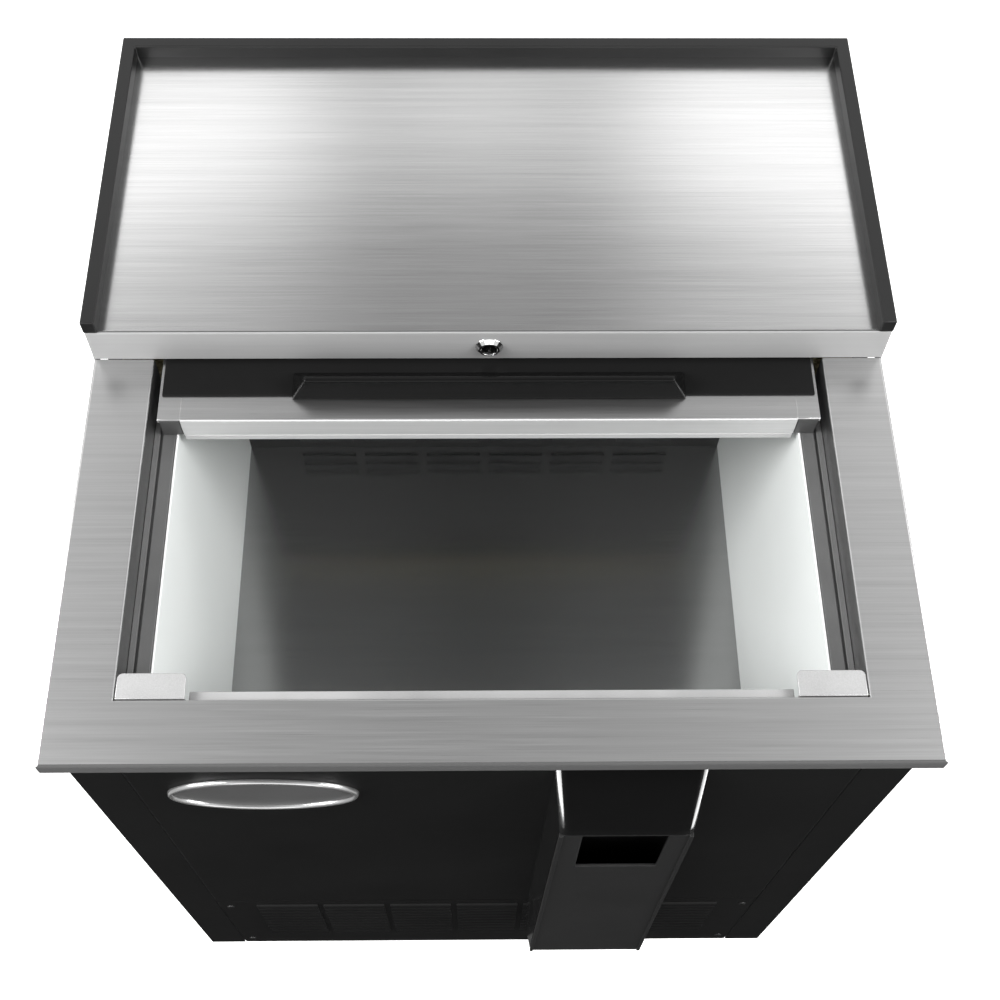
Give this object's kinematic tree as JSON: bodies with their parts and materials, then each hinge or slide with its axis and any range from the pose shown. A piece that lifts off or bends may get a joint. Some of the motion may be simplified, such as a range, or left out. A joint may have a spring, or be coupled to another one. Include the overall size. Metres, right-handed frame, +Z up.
{
  "type": "sliding-lid chest cooler",
  "caption": "Low black chest cooler on casters with a stainless counter, a lid that slides back under a raised rear deck, a white-lined well and a cap catcher.",
  "frame": {"origin": "middle of the footprint, on the floor under the wheels", "axes": "+X to the right of someone facing the front, +Y to the back, +Z up; the front with the cap catcher faces -Y"},
  "size_m": [0.616, 0.643, 0.848],
  "materials": {
    "cabinet_black": "satin",
    "galvanised": "satin",
    "foam": "matte",
    "liner_white": "satin",
    "well_steel": "polished",
    "fin_aluminium": "satin",
    "fan_black": "matte",
    "fan_white": "matte",
    "counter_steel": "satin",
    "deck_steel": "satin",
    "rail_black": "satin",
    "lock_chrome": "polished",
    "lock_dark": "polished",
    "track_grey": "satin",
    "trim_steel": "satin",
    "badge_chrome": "satin",
    "screw_black": "satin",
    "catcher_gloss": "gloss",
    "opener_steel": "satin",
    "catcher_grey": "satin",
    "lid_steel": "satin",
    "lid_black": "gloss",
    "lid_white": "satin",
    "glide_grey": "satin",
    "compressor_black": "satin",
    "grommet_rubber": "matte",
    "condenser_black": "satin",
    "copper": "satin",
    "control_grey": "matte",
    "knob_black": "satin",
    "caster_zinc": "satin",
    "wheel_rubber": "matte",
    "pedal_red": "satin"
  },
  "bodies": {
    "cabinet": {"side_panel_left": "cabinet_black", "side_panel_right": "cabinet_black", "front_panel": "cabinet_black", "front_grille": "cabinet_black", "rear_panel": "galvanised", "rear_grille": "cabinet_black", "base_pan": "galvanised", "foam_blocks": "foam", "liner_left": "liner_white", "liner_right": "liner_white", "liner_front": "liner_white", "liner_floor": "well_steel", "evaporator_cover": "well_steel", "evaporator_coil": "fin_aluminium", "evaporator_fan_frame": "fan_black", "counter_frame": "counter_steel", "deck_panel": "deck_steel", "gallery_rail": "rail_black", "lock_bezel": "lock_chrome", "lid_track_left": "track_grey", "lid_track_right": "track_grey", "front_trim": "trim_steel", "corner_keepers": "trim_steel", "badge": "badge_chrome", "panel_screws": "screw_black", "opener_housing": "catcher_gloss", "bottle_opener": "opener_steel", "compressor": "compressor_black", "compressor_mounts": "grommet_rubber", "condenser_coil": "condenser_black", "condenser_fan_frame": "fan_black", "refrigerant_lines": "copper", "drain_pan": "galvanised", "control_box": "control_grey", "cord_gland": "knob_black", "caster_plates": "caster_zinc"},
    "lid": {"lid_skin": "lid_steel", "lid_cover": "lid_black", "lid_core": "foam", "lid_liner": "lid_white", "lid_glides": "glide_grey"},
    "lock": {"lock_barrel": "lock_dark"},
    "bin": {"cap_bin": "catcher_grey"},
    "evaporator_fan": {"evaporator_fan_blade": "fan_white"},
    "condenser_fan": {"condenser_fan_blade": "fan_white"},
    "thermostat": {"thermostat_knob": "knob_black"},
    "fork_1": {"caster_fork_1": "caster_zinc"},
    "wheel_1": {"caster_wheel_1": "wheel_rubber"},
    "fork_2": {"caster_fork_2": "caster_zinc"},
    "wheel_2": {"caster_wheel_2": "wheel_rubber"},
    "fork_3": {"caster_fork_3": "caster_zinc"},
    "wheel_3": {"caster_wheel_3": "wheel_rubber"},
    "fork_4": {"caster_fork_4": "caster_zinc"},
    "wheel_4": {"caster_wheel_4": "wheel_rubber"},
    "pedal_1": {"brake_pedal_1": "pedal_red"},
    "pedal_2": {"brake_pedal_2": "pedal_red"}
  },
  "joints": [
    {"name": "lid_slide", "type": "slide", "parent": "cabinet", "child": "lid", "axis": [0, -1, 0], "range_m": [0, 0.216]},
    {"name": "lock_turn", "type": "hinge", "parent": "cabinet", "child": "lock", "pos_m": [0, 0.027, 0.816], "axis": [0, 1, 0], "range_deg": [0, 90]},
    {"name": "bin_pull", "type": "slide", "parent": "cabinet", "child": "bin", "axis": [0, -1, 0], "range_m": [0, 0.045]},
    {"name": "evaporator_fan_spin", "type": "hinge", "parent": "cabinet", "child": "evaporator_fan", "pos_m": [0, 0.16, 0.633], "axis": [0, 1, 0], "continuous": true},
    {"name": "condenser_fan_spin", "type": "hinge", "parent": "cabinet", "child": "condenser_fan", "pos_m": [-0.09, -0.2, 0.225], "axis": [0, 1, 0], "continuous": true},
    {"name": "thermostat_turn", "type": "hinge", "parent": "cabinet", "child": "thermostat", "pos_m": [-0.18, 0.31, 0.364], "axis": [0, 1, 0], "range_deg": [0, 270]},
    {"name": "swivel_1", "type": "hinge", "parent": "cabinet", "child": "fork_1", "pos_m": [-0.2315, -0.195, 0.12], "axis": [0, 0, 1], "continuous": true},
    {"name": "wheel_roll_1", "type": "hinge", "parent": "fork_1", "child": "wheel_1", "pos_m": [-0.2315, -0.163, 0.05], "axis": [1, 0, 0], "continuous": true},
    {"name": "swivel_2", "type": "hinge", "parent": "cabinet", "child": "fork_2", "pos_m": [0.2315, -0.195, 0.12], "axis": [0, 0, 1], "continuous": true},
    {"name": "wheel_roll_2", "type": "hinge", "parent": "fork_2", "child": "wheel_2", "pos_m": [0.2315, -0.163, 0.05], "axis": [1, 0, 0], "continuous": true},
    {"name": "swivel_3", "type": "hinge", "parent": "cabinet", "child": "fork_3", "pos_m": [-0.2315, 0.216, 0.12], "axis": [0, 0, 1], "continuous": true},
    {"name": "wheel_roll_3", "type": "hinge", "parent": "fork_3", "child": "wheel_3", "pos_m": [-0.2315, 0.248, 0.05], "axis": [1, 0, 0], "continuous": true},
    {"name": "swivel_4", "type": "hinge", "parent": "cabinet", "child": "fork_4", "pos_m": [0.2315, 0.216, 0.12], "axis": [0, 0, 1], "continuous": true},
    {"name": "wheel_roll_4", "type": "hinge", "parent": "fork_4", "child": "wheel_4", "pos_m": [0.2315, 0.248, 0.05], "axis": [1, 0, 0], "continuous": true},
    {"name": "pedal_lift_1", "type": "hinge", "parent": "fork_1", "child": "pedal_1", "pos_m": [-0.2315, -0.163, 0.05], "axis": [1, 0, 0], "range_deg": [0, 14]},
    {"name": "pedal_lift_2", "type": "hinge", "parent": "fork_2", "child": "pedal_2", "pos_m": [0.2315, -0.163, 0.05], "axis": [1, 0, 0], "range_deg": [0, 14]}
  ]
}
